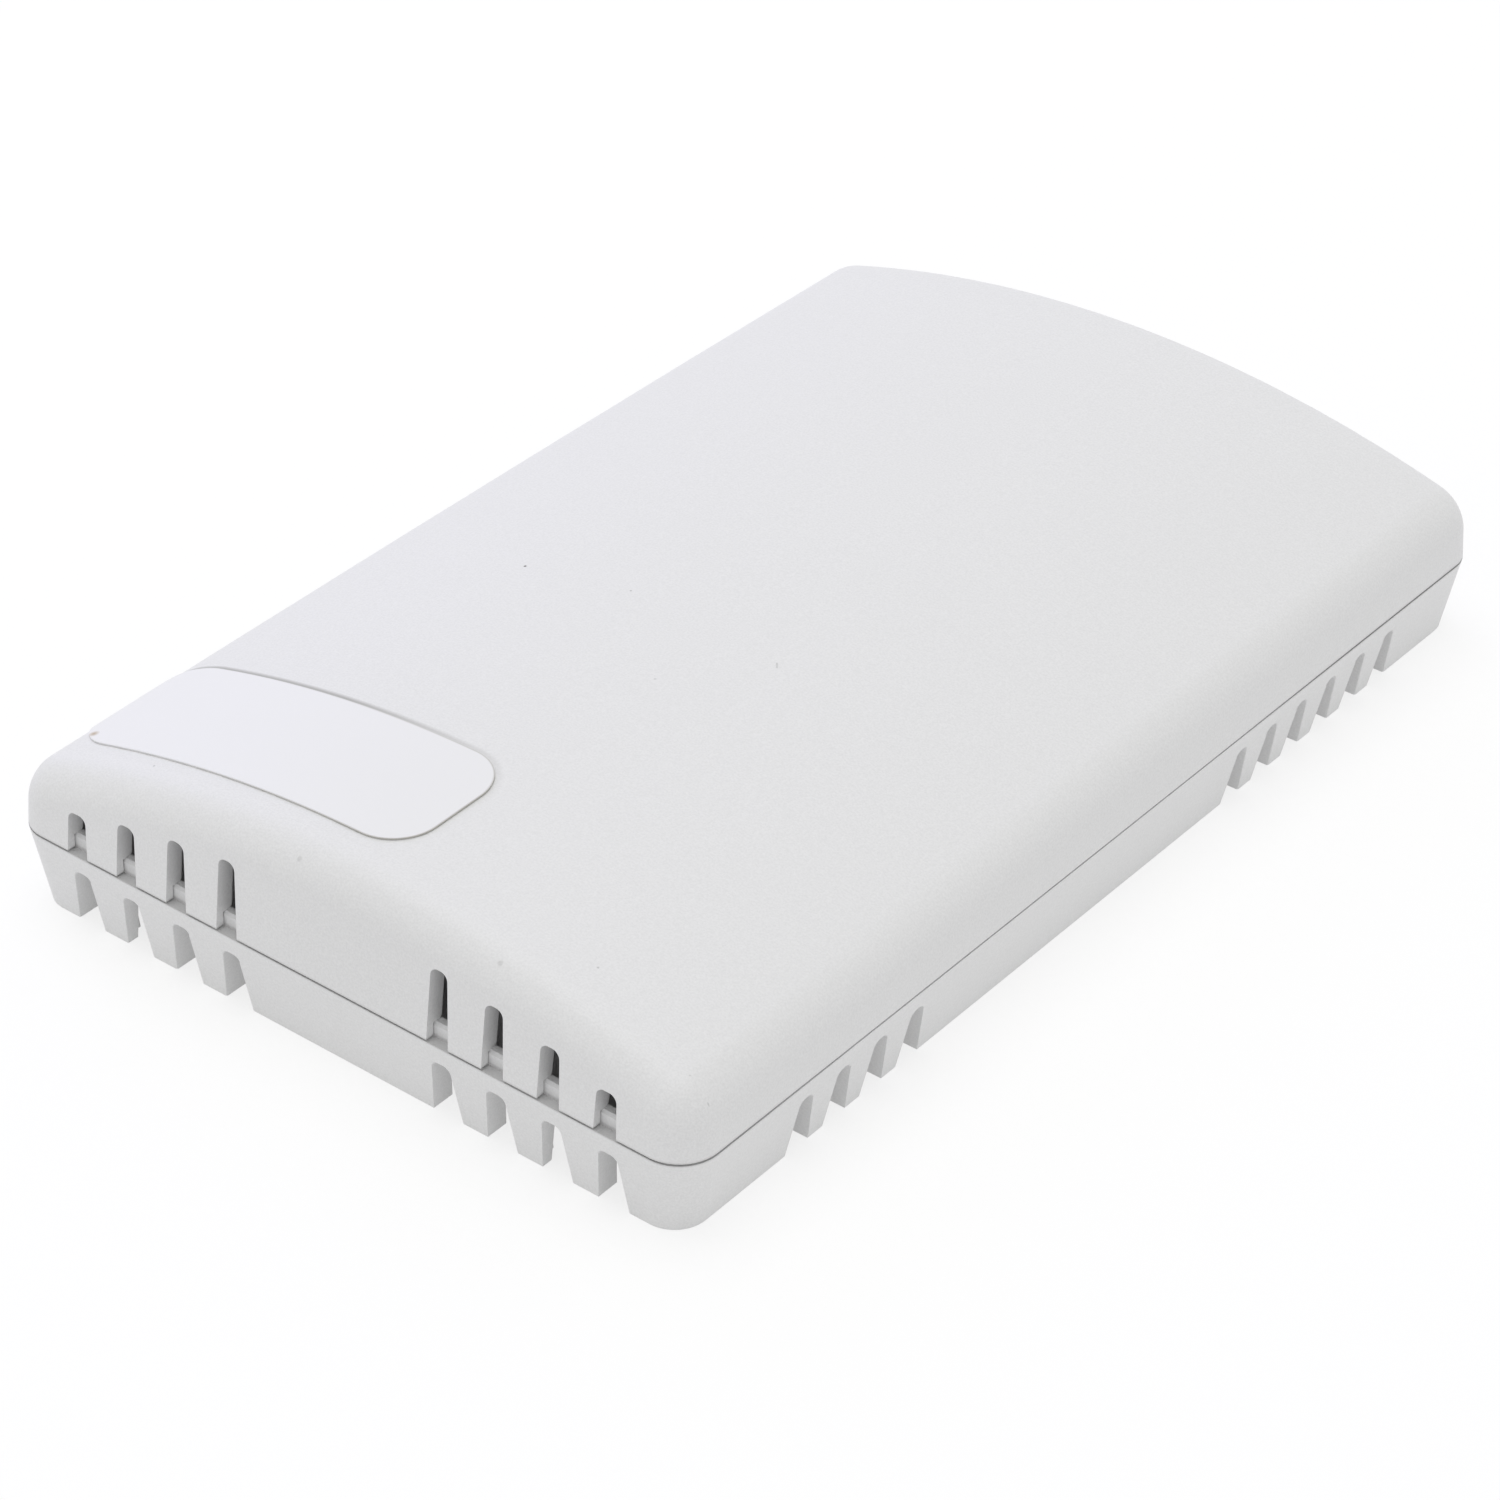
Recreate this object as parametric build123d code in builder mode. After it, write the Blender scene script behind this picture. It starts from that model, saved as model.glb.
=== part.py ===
"""Wall-mounted room temperature sensor: a vented two-piece housing round a small thermistor board.

Frame, in millimetres: the origin is at the centre of the back, on the wall plane. +Z points out of the wall,
+Y points up the wall and +X points right as the reader faces the cover.
"""

import math
import os

from build123d import *

os.makedirs("parts", exist_ok=True)

# Housing outline, where cover and base meet
housing_width = 77.0
housing_length = 120.0
corner_radius = 3.9

# Rear base: a castellated skirt under a plate, with a tongue that enters the cover
base_height = 7.8
base_side_inset = 1.5
base_end_inset = 0.95
base_foot_radius = 3.2
base_side_wall = 1.7
base_end_wall = 2.4
plate_thickness = 2.0
tongue_inset = 1.0
tongue_wall = 0.9
tongue_height = 1.5
tongue_edge_chamfer = 0.25

# Front cover: an arched face on drafted walls, heights measured from the base's rim
parting_gap = 0.2
cover_wall = 1.8
arch_rise = 6.35
crown_height = 12.55
crown_bow = 0.375
crown_fall = 0.75
side_edge_radius = 4.8
side_draft = 1.7
end_draft = 5.2
form_spare = 6.0
lap_clearance = 0.12
lap_chamfer = 0.2

# Snap beads on the tongue's long sides
snap_spacing = 60.0
snap_length = 12.0
snap_radius = 0.45
snap_proud = 0.3
snap_clearance = 0.1

# Vent slots through both ends of the cover, counted inwards from each side
vent_pitch = 6.0
vent_count = 4
vent_side_margin = 8.5
vent_foot_width = 2.4
vent_draft = 2.3
vent_crown_margin = 3.65
vent_corner_radius = 0.8

# Notches in the skirt, open towards the wall
end_notch_width = 3.2
side_notch_width = 2.9
notch_draft = 6.5
notch_roof = 2.0
notch_corner_radius = 0.75
side_notch_pitch = 5.0
top_notch_count = 4
top_notch_margin = 16.0
bottom_notch_count = 6
bottom_notch_margin = 15.0
thin_notch_index = 1
thin_pocket_width = 5.0
thin_pocket_depth = 1.2

# Wall fixing and cable entry
wall_screw_spacing = 83.3
wall_slot_width = 4.4
wall_slot_length = 7.4
wall_boss_wall = 2.3
cable_opening_width = 20.0
cable_opening_length = 26.0
cable_opening_radius = 3.0
cable_opening_center = 14.0

# Circuit board on four posts
board_width = 48.0
board_length = 30.0
board_thickness = 1.6
board_corner_radius = 1.0
board_gap = 5.0
board_hole_inset = 4.0
board_hole_radius = 1.4
post_radius = 3.0
post_height = 1.6
peg_clearance = 0.1
peg_proud = 0.8

# Self-tapping board screws
screw_shank_radius = 1.1
screw_pilot_clearance = 0.04
screw_bite = 3.0
screw_head_radius = 2.5
screw_head_height = 1.8
screw_head_chamfer = 0.5
screw_slot_width = 0.7
screw_slot_depth = 0.8
screw_slot_turn = 30.0

# Two-way wire terminal
terminal_ways = 2
terminal_pitch = 5.0
terminal_depth = 7.4
terminal_height = 6.6
terminal_edge_gap = 1.0
terminal_chamfer = 0.8
terminal_floor = 0.8
chamber_width = 3.6
chamber_height = 3.9
chamber_depth = 6.0
cage_clearance = 0.05
cage_wall = 0.5
cage_depth = 4.6
clamp_shank_radius = 0.95
clamp_head_radius = 1.6
clamp_head_height = 1.3
clamp_reach = 1.4
clamp_slot_width = 0.6
clamp_slot_depth = 0.7
clamp_slot_turn = 20.0
well_clearance = 0.15
pin_radius = 0.5
pin_clearance = 0.08
pin_proud = 1.1

# Thermistor bead on two bent leads
lead_radius = 0.25
lead_pitch = 2.0
lead_bend_radius = 1.5
lead_rise = 4.0
lead_run = 6.5
lead_entry = 1.2
lead_clearance = 0.02
bead_radius = 1.75
bead_neck_radius = 1.5
bead_neck_length = 2.0
bead_offset = 14.0
bead_edge_margin = 5.0

# Solder joints under the board
solder_spread = 0.55
solder_height = 0.8

# Label film on the cover, its margins measured from the housing's outline
label_width = 39.8
label_height = 14.6
label_side_margin = 1.5
label_end_margin = 6.3
label_corner_radius = 4.5
label_thickness = 0.15
label_glue = 0.02

# Heights and places worked out from the sizes above
plate_underside = base_height - plate_thickness
cover_foot = base_height + parting_gap
notch_top = base_height - notch_roof
tongue_top = base_height + tongue_height
arch_radius = ((housing_width / 2) ** 2 + arch_rise**2) / (2 * arch_rise)
crown_radius = (housing_length / 2) ** 2 / (2 * crown_bow)
crown_slope = crown_fall / housing_length
crown_apex_y = -crown_slope * crown_radius
crown_apex = base_height + crown_height + crown_slope**2 * crown_radius / 2
crown_axis = Axis((0, crown_apex_y, crown_apex - crown_radius), (1, 0, 0))
board_underside = base_height + post_height
board_top = board_underside + board_thickness
board_center = cable_opening_center - cable_opening_length / 2 - board_gap - board_length / 2
board_hole_x = board_width / 2 - board_hole_inset
board_hole_y = board_length / 2 - board_hole_inset
screw_places = [(-board_hole_x, board_center + board_hole_y), (board_hole_x, board_center - board_hole_y)]
peg_places = [(board_hole_x, board_center + board_hole_y), (-board_hole_x, board_center - board_hole_y)]
wall_slot_places = [(0, wall_screw_spacing / 2), (0, -wall_screw_spacing / 2)]
way_places = [(way - (terminal_ways - 1) / 2) * terminal_pitch for way in range(terminal_ways)]
terminal_front = board_center + board_length / 2 - terminal_edge_gap
chamber_center = terminal_front - chamber_depth / 2
cage_floor = board_top + terminal_floor
cage_height = chamber_height - cage_clearance
cage_top = cage_floor + cage_height
lead_place = board_center - board_length / 2 + bead_edge_margin
lead_bottom = board_underside - pin_proud
lead_level = board_top + lead_rise
bead_center = lead_place - lead_run - bead_neck_length + lead_entry
label_x = housing_width / 2 - label_side_margin - label_width / 2
label_y = housing_length / 2 - label_end_margin - label_height / 2
vent_centers = [housing_width / 2 - vent_side_margin - i * vent_pitch for i in range(vent_count)]
top_notches = [housing_length / 2 - top_notch_margin - i * side_notch_pitch for i in range(top_notch_count)]
bottom_notches = [bottom_notch_margin + i * side_notch_pitch - housing_length / 2 for i in range(bottom_notch_count)]


def arch_drop(offset):
    """How far the arched face has fallen at this distance from the centre line."""
    return arch_radius - math.sqrt(arch_radius**2 - offset**2)


def crown_at(y):
    """Height of the cover's crown line above the wall plane, level with this point up the wall."""
    return crown_apex - crown_radius + math.sqrt(crown_radius**2 - (y - crown_apex_y) ** 2)


def cover_form(inset):
    """The cover's outer form, moved inwards by inset all round and closed at the foot."""
    half_width = housing_width / 2 - inset
    half_length = housing_length / 2 - inset
    section_foot = cover_foot - form_spare
    section_top = crown_apex + form_spare
    run = housing_length / 2 + abs(crown_apex_y) + form_spare
    turn = math.degrees(math.asin(run / crown_radius))
    side_slope = math.tan(math.radians(side_draft))
    end_lean = (section_top - cover_foot) * math.tan(math.radians(end_draft))
    foot_reach = half_width + (cover_foot - section_foot) * side_slope
    top_reach = half_width - (section_top - cover_foot) * side_slope

    # The arched section turns about a far axis, which bows the face slightly along its length
    with BuildPart() as form:
        with BuildSketch(Plane.XZ.offset(-crown_apex_y), mode=Mode.PRIVATE) as section:
            with BuildLine():
                Polyline(
                    (-foot_reach, section_foot),
                    (foot_reach, section_foot),
                    (top_reach, section_top),
                    (-top_reach, section_top),
                    close=True,
                )
            make_face()
            with Locations((0, crown_apex - arch_radius)):
                Circle(arch_radius - inset, mode=Mode.INTERSECT)
            fillet(section.vertices().group_by(Axis.Y)[-1], side_edge_radius - inset)
        revolve(section.sketch, axis=crown_axis, revolution_arc=turn)
        revolve(section.sketch, axis=crown_axis, revolution_arc=-turn)

        # Drafted ends and the flat foot
        with BuildSketch(Plane.YZ):
            with BuildLine():
                Polyline(
                    (-half_length, cover_foot),
                    (half_length, cover_foot),
                    (half_length - end_lean, section_top),
                    (end_lean - half_length, section_top),
                    close=True,
                )
            make_face()
        extrude(amount=housing_width, both=True, mode=Mode.INTERSECT)

        # One rounding runs up each corner and over the end of the arch
        end_faces = [form.faces().sort_by(Axis.Y)[0], form.faces().sort_by(Axis.Y)[-1]]
        rounded = [edge for face in end_faces for edge in face.edges().sort_by(Axis.Z)[1:]]
        fillet(rounded, corner_radius - inset)
    return form.part


def slot_outline(center, foot_width, foot, roof, draft):
    """Corners of a drafted slot that narrows from its open foot to its roof."""
    foot_reach = foot_width / 2
    roof_reach = foot_reach - (roof - foot) * math.tan(math.radians(draft))
    return [
        (center - foot_reach, foot),
        (center + foot_reach, foot),
        (center + roof_reach, roof),
        (center - roof_reach, roof),
    ]


# Front cover
cover_outside = cover_form(0)
cover_inside = cover_form(cover_wall)

with BuildPart() as front_cover:
    add(cover_outside)
    add(cover_inside, mode=Mode.SUBTRACT)

    # Lap that takes the base's tongue, with a lead-in above it
    lap_inset = tongue_inset - lap_clearance
    with BuildSketch(Plane.XY.offset(cover_foot)):
        RectangleRounded(
            housing_width - 2 * lap_inset, housing_length - 2 * lap_inset, corner_radius - lap_inset
        )
    extrude(amount=tongue_top - cover_foot, mode=Mode.SUBTRACT)
    lap_roof = front_cover.faces().filter_by(Axis.Z).sort_by(Axis.Z)[-1]
    chamfer(lap_roof.inner_wires()[0].edges(), lap_chamfer)

    # Grooves for the snap beads
    for side in (-1, 1):
        groove_x = side * (housing_width / 2 - tongue_inset - snap_radius + snap_proud)
        for y in (-snap_spacing / 2, snap_spacing / 2):
            with Locations(Location((groove_x, y, base_height + tongue_height / 2), (90, 0, 0))):
                Cylinder(
                    snap_radius + snap_clearance, snap_length + 2 * snap_clearance, mode=Mode.SUBTRACT
                )

    # Vent slots, their tops a steady distance under the arch
    with BuildSketch(Plane.XZ) as vents:
        for offset in vent_centers:
            roof = crown_at(housing_length / 2) - vent_crown_margin - arch_drop(offset)
            for center in (-offset, offset):
                with BuildLine():
                    Polyline(*slot_outline(center, vent_foot_width, cover_foot, roof, vent_draft), close=True)
                make_face()
        fillet(vents.vertices().filter_by(lambda corner: corner.Y > tongue_top), vent_corner_radius)
    extrude(amount=housing_length, both=True, mode=Mode.SUBTRACT)

front_cover.part.label = "front_cover"
export_step(front_cover.part, "parts/front_cover.step")

# Rear base
with BuildPart() as rear_base:
    # Skirt and plate, hollow towards the wall
    with BuildSketch(Plane.XY):
        RectangleRounded(
            housing_width - 2 * base_side_inset, housing_length - 2 * base_end_inset, base_foot_radius
        )
    with BuildSketch(Plane.XY.offset(base_height)):
        RectangleRounded(housing_width, housing_length, corner_radius)
    loft(ruled=True)
    hollow_rise = plate_underside / base_height
    with BuildSketch(Plane.XY):
        RectangleRounded(
            housing_width - 2 * (base_side_inset + base_side_wall),
            housing_length - 2 * (base_end_inset + base_end_wall),
            base_foot_radius - base_side_wall,
        )
    with BuildSketch(Plane.XY.offset(plate_underside)):
        RectangleRounded(
            housing_width - 2 * (base_side_inset * (1 - hollow_rise) + base_side_wall),
            housing_length - 2 * (base_end_inset * (1 - hollow_rise) + base_end_wall),
            base_foot_radius - base_side_wall,
        )
    loft(ruled=True, mode=Mode.SUBTRACT)

    # Notches through the ends and the long sides
    with BuildSketch(Plane.XZ) as end_notches:
        for offset in vent_centers:
            for center in (-offset, offset):
                with BuildLine():
                    Polyline(*slot_outline(center, end_notch_width, 0, notch_top, notch_draft), close=True)
                make_face()
        fillet(end_notches.vertices().group_by(Axis.Y)[-1], notch_corner_radius)
    extrude(amount=housing_length, both=True, mode=Mode.SUBTRACT)
    with BuildSketch(Plane.YZ) as side_notches:
        for center in top_notches + bottom_notches:
            with BuildLine():
                Polyline(*slot_outline(center, side_notch_width, 0, notch_top, notch_draft), close=True)
            make_face()
        fillet(side_notches.vertices().group_by(Axis.Y)[-1], notch_corner_radius)
    extrude(amount=housing_width, both=True, mode=Mode.SUBTRACT)

    # Pockets that thin the end walls behind one notch on each side
    pocket_reach = housing_length - 2 * (base_end_inset + base_end_wall - thin_pocket_depth)
    with BuildSketch(Plane.XY):
        with Locations((-vent_centers[thin_notch_index], 0), (vent_centers[thin_notch_index], 0)):
            Rectangle(thin_pocket_width, pocket_reach)
    extrude(amount=plate_underside, mode=Mode.SUBTRACT)

    # Tongue round the rim, with snap beads on its long sides
    with BuildSketch(Plane.XY.offset(base_height)):
        RectangleRounded(
            housing_width - 2 * tongue_inset, housing_length - 2 * tongue_inset, corner_radius - tongue_inset
        )
        inner_inset = tongue_inset + tongue_wall
        RectangleRounded(
            housing_width - 2 * inner_inset,
            housing_length - 2 * inner_inset,
            corner_radius - inner_inset,
            mode=Mode.SUBTRACT,
        )
    extrude(amount=tongue_height)
    tongue_face = rear_base.faces().filter_by(Axis.Z).sort_by(Axis.Z)[-1]
    chamfer(tongue_face.outer_wire().edges(), tongue_edge_chamfer)
    for side in (-1, 1):
        bead_x = side * (housing_width / 2 - tongue_inset - snap_radius + snap_proud)
        for y in (-snap_spacing / 2, snap_spacing / 2):
            with Locations(Location((bead_x, y, base_height + tongue_height / 2), (90, 0, 0))):
                Cylinder(snap_radius, snap_length)

    # Bosses that carry the wall screws back to the wall
    with BuildSketch(Plane.XY):
        with Locations(*wall_slot_places):
            SlotOverall(
                wall_slot_length + 2 * wall_boss_wall, wall_slot_width + 2 * wall_boss_wall, rotation=90
            )
    extrude(amount=base_height)
    with BuildSketch(Plane.XY):
        with Locations(*wall_slot_places):
            SlotOverall(wall_slot_length, wall_slot_width, rotation=90)
    extrude(amount=base_height, mode=Mode.SUBTRACT)

    # Cable entry through the plate
    with BuildSketch(Plane.XY.offset(plate_underside)):
        with Locations((0, cable_opening_center)):
            RectangleRounded(cable_opening_width, cable_opening_length, cable_opening_radius)
    extrude(amount=plate_thickness, mode=Mode.SUBTRACT)

    # Board posts, two bored for screws and two with locating pegs
    with BuildSketch(Plane.XY.offset(base_height)):
        with Locations(*screw_places, *peg_places):
            Circle(post_radius)
    extrude(amount=post_height)
    with BuildSketch(Plane.XY.offset(board_underside)):
        with Locations(*peg_places):
            Circle(board_hole_radius - peg_clearance)
    extrude(amount=board_thickness + peg_proud)
    with BuildSketch(Plane.XY.offset(plate_underside)):
        with Locations(*screw_places):
            Circle(screw_shank_radius + screw_pilot_clearance)
    extrude(amount=plate_thickness + post_height, mode=Mode.SUBTRACT)

rear_base.part.label = "rear_base"
export_step(rear_base.part, "parts/rear_base.step")

# Label film, wrapped over the arch and the rounded side
label_under = cover_form(-label_glue)
label_over = cover_form(-label_glue - label_thickness)

with BuildPart() as face_label:
    add(label_over)
    add(label_under, mode=Mode.SUBTRACT)
    with BuildSketch(Plane.XY.offset(tongue_top)):
        with Locations((label_x, label_y)):
            RectangleRounded(label_width, label_height, label_corner_radius)
    extrude(amount=crown_height, mode=Mode.INTERSECT)

face_label.part.label = "face_label"
export_step(face_label.part, "parts/face_label.step")

# Circuit board
with BuildPart() as circuit_board:
    with BuildSketch(Plane.XY.offset(board_underside)):
        with Locations((0, board_center)):
            RectangleRounded(board_width, board_length, board_corner_radius)
        with Locations(*screw_places, *peg_places):
            Circle(board_hole_radius, mode=Mode.SUBTRACT)
        with Locations(*[(x, chamber_center) for x in way_places]):
            Circle(pin_radius + pin_clearance, mode=Mode.SUBTRACT)
        with Locations((bead_offset - lead_pitch / 2, lead_place), (bead_offset + lead_pitch / 2, lead_place)):
            Circle(lead_radius + pin_clearance, mode=Mode.SUBTRACT)
    extrude(amount=board_thickness)

circuit_board.part.label = "circuit_board"
export_step(circuit_board.part, "parts/circuit_board.step")

# Self-tapping screws that hold the board to two of its posts
with BuildPart() as board_screws:
    with BuildSketch(Plane.XY.offset(board_underside - screw_bite)):
        with Locations(*screw_places):
            Circle(screw_shank_radius)
    extrude(amount=screw_bite + board_thickness)
    with BuildSketch(Plane.XY.offset(board_top)):
        with Locations(*screw_places):
            Circle(screw_head_radius)
    extrude(amount=screw_head_height)
    crown_edges = board_screws.edges().filter_by(GeomType.CIRCLE).group_by(Axis.Z)[-1]
    chamfer(crown_edges, screw_head_chamfer)
    with BuildSketch(Plane.XY.offset(board_top + screw_head_height - screw_slot_depth)):
        with Locations(*screw_places):
            Rectangle(2 * screw_head_radius, screw_slot_width, rotation=screw_slot_turn)
    extrude(amount=screw_slot_depth, mode=Mode.SUBTRACT)

board_screws.part.label = "board_screws"
export_step(board_screws.part, "parts/board_screws.step")

# Wire terminal housing: one open chamber and one screw well for each way
with BuildPart() as terminal_housing:
    with BuildSketch(Plane.XY.offset(board_top)):
        with Locations((0, terminal_front - terminal_depth / 2)):
            Rectangle(terminal_ways * terminal_pitch, terminal_depth)
    extrude(amount=terminal_height)
    back_top = terminal_housing.edges().filter_by(Axis.X).group_by(Axis.Z)[-1]
    chamfer(back_top, terminal_chamfer)
    with BuildSketch(Plane.XY.offset(cage_floor)):
        with Locations(*[(x, chamber_center) for x in way_places]):
            Rectangle(chamber_width, chamber_depth)
    extrude(amount=chamber_height, mode=Mode.SUBTRACT)
    with BuildSketch(Plane.XY.offset(cage_top)):
        with Locations(*[(x, chamber_center) for x in way_places]):
            Circle(clamp_head_radius + well_clearance)
    extrude(amount=terminal_height, mode=Mode.SUBTRACT)
    with BuildSketch(Plane.XY.offset(board_top)):
        with Locations(*[(x, chamber_center) for x in way_places]):
            Circle(pin_radius + pin_clearance)
    extrude(amount=terminal_floor, mode=Mode.SUBTRACT)

terminal_housing.part.label = "terminal_housing"
export_step(terminal_housing.part, "parts/terminal_housing.step")

# Wire clamps: open cages with a hole for the screw in their roof
with BuildPart() as terminal_cages:
    with BuildSketch(Plane.XY.offset(cage_floor)):
        with Locations(*[(x, chamber_center) for x in way_places]):
            Rectangle(chamber_width - 2 * cage_clearance, cage_depth)
    extrude(amount=cage_height)
    with BuildSketch(Plane.XY.offset(cage_floor + cage_wall)):
        with Locations(*[(x, chamber_center) for x in way_places]):
            Rectangle(chamber_width - 2 * cage_clearance - 2 * cage_wall, cage_depth)
    extrude(amount=cage_height - 2 * cage_wall, mode=Mode.SUBTRACT)
    with BuildSketch(Plane.XY.offset(cage_top - cage_wall)):
        with Locations(*[(x, chamber_center) for x in way_places]):
            Circle(clamp_shank_radius + cage_clearance)
    extrude(amount=cage_wall, mode=Mode.SUBTRACT)

terminal_cages.part.label = "terminal_cages"
export_step(terminal_cages.part, "parts/terminal_cages.step")

# Clamp screws, seated on the cages
with BuildPart() as terminal_screws:
    with BuildSketch(Plane.XY.offset(cage_top - cage_wall - clamp_reach)):
        with Locations(*[(x, chamber_center) for x in way_places]):
            Circle(clamp_shank_radius)
    extrude(amount=cage_wall + clamp_reach)
    with BuildSketch(Plane.XY.offset(cage_top)):
        with Locations(*[(x, chamber_center) for x in way_places]):
            Circle(clamp_head_radius)
    extrude(amount=clamp_head_height)
    with BuildSketch(Plane.XY.offset(cage_top + clamp_head_height - clamp_slot_depth)):
        with Locations(*[(x, chamber_center) for x in way_places]):
            Rectangle(2 * clamp_head_radius, clamp_slot_width, rotation=clamp_slot_turn)
    extrude(amount=clamp_slot_depth, mode=Mode.SUBTRACT)

terminal_screws.part.label = "terminal_screws"
export_step(terminal_screws.part, "parts/terminal_screws.step")

# Terminal pins, from the cages down through the board
with BuildPart() as terminal_pins:
    with BuildSketch(Plane.XY.offset(lead_bottom)):
        with Locations(*[(x, chamber_center) for x in way_places]):
            Circle(pin_radius)
    extrude(amount=cage_floor - lead_bottom)

terminal_pins.part.label = "terminal_pins"
export_step(terminal_pins.part, "parts/terminal_pins.step")

# Thermistor leads: up from the board, then bent over its lower edge
with BuildPart() as thermistor_leads:
    for x in (bead_offset - lead_pitch / 2, bead_offset + lead_pitch / 2):
        with BuildLine(Plane.YZ.offset(x)) as lead_path:
            FilletPolyline(
                (lead_place, lead_bottom),
                (lead_place, lead_level),
                (lead_place - lead_run, lead_level),
                radius=lead_bend_radius,
            )
        with BuildSketch(Plane((x, lead_place, lead_bottom))):
            Circle(lead_radius)
        sweep(path=lead_path.wire())

thermistor_leads.part.label = "thermistor_leads"
export_step(thermistor_leads.part, "parts/thermistor_leads.step")

# Thermistor bead, a drop of epoxy over the lead ends
bead_middle = (bead_offset, bead_center, lead_level)

with BuildPart() as thermistor_bead:
    with BuildSketch(Plane(bead_middle, x_dir=(0, 1, 0), z_dir=(1, 0, 0))):
        with BuildLine():
            TangentArc((-bead_radius, 0), (0, bead_radius), tangent=(0, 1))
            Polyline(
                (0, bead_radius), (bead_neck_length, bead_neck_radius), (bead_neck_length, 0), (-bead_radius, 0)
            )
        make_face()
    revolve(axis=Axis(bead_middle, (0, 1, 0)))
    with BuildSketch(Plane.XZ.offset(lead_run - lead_place + lead_clearance)):
        with Locations((bead_offset - lead_pitch / 2, lead_level), (bead_offset + lead_pitch / 2, lead_level)):
            Circle(lead_radius + lead_clearance)
    extrude(amount=-lead_entry - lead_clearance, mode=Mode.SUBTRACT)

thermistor_bead.part.label = "thermistor_bead"
export_step(thermistor_bead.part, "parts/thermistor_bead.step")

# Solder joints, small cones under the board round each pin and lead
with BuildPart() as solder_joints:
    joints = [(x, chamber_center, pin_radius) for x in way_places]
    joints += [(bead_offset - lead_pitch / 2, lead_place, lead_radius)]
    joints += [(bead_offset + lead_pitch / 2, lead_place, lead_radius)]
    for x, y, radius in joints:
        with Locations((x, y, board_underside - solder_height / 2)):
            Cone(radius + solder_spread / 2, radius + solder_spread, solder_height)
            Cylinder(radius + lead_clearance, solder_height, mode=Mode.SUBTRACT)

solder_joints.part.label = "solder_joints"
export_step(solder_joints.part, "parts/solder_joints.step")
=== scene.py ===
"""Room temperature sensor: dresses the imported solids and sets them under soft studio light.

Every object is in metres, in the part's own frame: the origin is at the centre of the back, +Z points out of
the wall and +Y points up the wall. Sizes in the classes below are in millimetres unless they say otherwise.
"""

import logging
import math
from dataclasses import dataclass, field
from enum import Enum
from typing import Any

import bmesh
import bpy
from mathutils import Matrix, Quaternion, Vector


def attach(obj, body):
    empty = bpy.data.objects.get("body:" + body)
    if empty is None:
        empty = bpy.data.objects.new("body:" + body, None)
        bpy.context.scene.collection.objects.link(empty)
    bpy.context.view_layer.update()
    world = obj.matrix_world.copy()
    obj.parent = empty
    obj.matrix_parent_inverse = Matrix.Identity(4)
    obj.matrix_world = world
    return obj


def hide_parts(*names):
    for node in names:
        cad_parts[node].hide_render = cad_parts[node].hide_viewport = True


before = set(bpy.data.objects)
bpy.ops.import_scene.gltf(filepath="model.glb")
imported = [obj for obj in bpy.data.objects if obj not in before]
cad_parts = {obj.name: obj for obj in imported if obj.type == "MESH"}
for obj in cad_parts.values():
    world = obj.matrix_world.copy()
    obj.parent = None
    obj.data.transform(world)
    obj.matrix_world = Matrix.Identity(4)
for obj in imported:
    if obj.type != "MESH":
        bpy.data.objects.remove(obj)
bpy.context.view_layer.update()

LOG = logging.getLogger("room_sensor")
MM = 0.001
WHITE = "#FFFFFF"

# The sRGB curve: a straight toe, then a power
SRGB_TOE = 0.04045
SRGB_TOE_SLOPE = 12.92
SRGB_LIFT = 0.055
SRGB_SCALE = 1.055
SRGB_POWER = 2.4

# A height in millimetres that no point reaches, which leaves height out of a distance
BEYOND_REACH = 1000.0


class Body(Enum):
    """The bodies that a piece can ride on."""

    HOUSING = "root"


class Grain(Enum):
    """How a surface was made, as the depth of its finest texture in millimetres."""

    SPARK_ERODED = 0.012
    AS_MOULDED = 0.006
    CALENDERED = 0.003
    POURED = 0.002


def linear(code: str) -> tuple[float, float, float, float]:
    """Turns an sRGB hex colour into the linear colour that a shader takes.

    Args:
        code: The colour as a hash sign and six hex digits.

    Returns:
        Red, green and blue in linear light, and full alpha.
    """
    shares = [int(code[place : place + 2], 16) / 255 for place in (1, 3, 5)]
    red, green, blue = [
        share / SRGB_TOE_SLOPE if share <= SRGB_TOE else ((share + SRGB_LIFT) / SRGB_SCALE) ** SRGB_POWER
        for share in shares
    ]
    return red, green, blue, 1.0


def per_size(size: float) -> float:
    """Pattern scale that makes one cell of a texture this many millimetres wide."""
    return 1 / (size * MM)


def add_node(
    tree: bpy.types.NodeTree, kind: str, inputs: dict[str | int, Any] | None = None, **settings: Any
) -> bpy.types.Node:
    """Adds one node with its settings, and sets or links its inputs.

    Args:
        tree: The node tree that gets the node.
        kind: Blender's name for the kind of node.
        inputs: Values or output sockets, by the input's name or number.
        settings: The node's own properties.

    Returns:
        The new node.
    """
    made = tree.nodes.new(kind)
    for name, value in settings.items():
        setattr(made, name, value)
    for name, value in (inputs or {}).items():
        if isinstance(value, bpy.types.NodeSocket):
            tree.links.new(value, made.inputs[name])
        else:
            made.inputs[name].default_value = value
    return made


def new_material(name: str) -> tuple[bpy.types.Material, bpy.types.NodeTree]:
    """Makes an empty node material.

    Args:
        name: The material's name.

    Returns:
        The material and its node tree.
    """
    material = bpy.data.materials.new(name)
    material.use_nodes = True
    material.node_tree.nodes.clear()
    return material, material.node_tree


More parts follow.
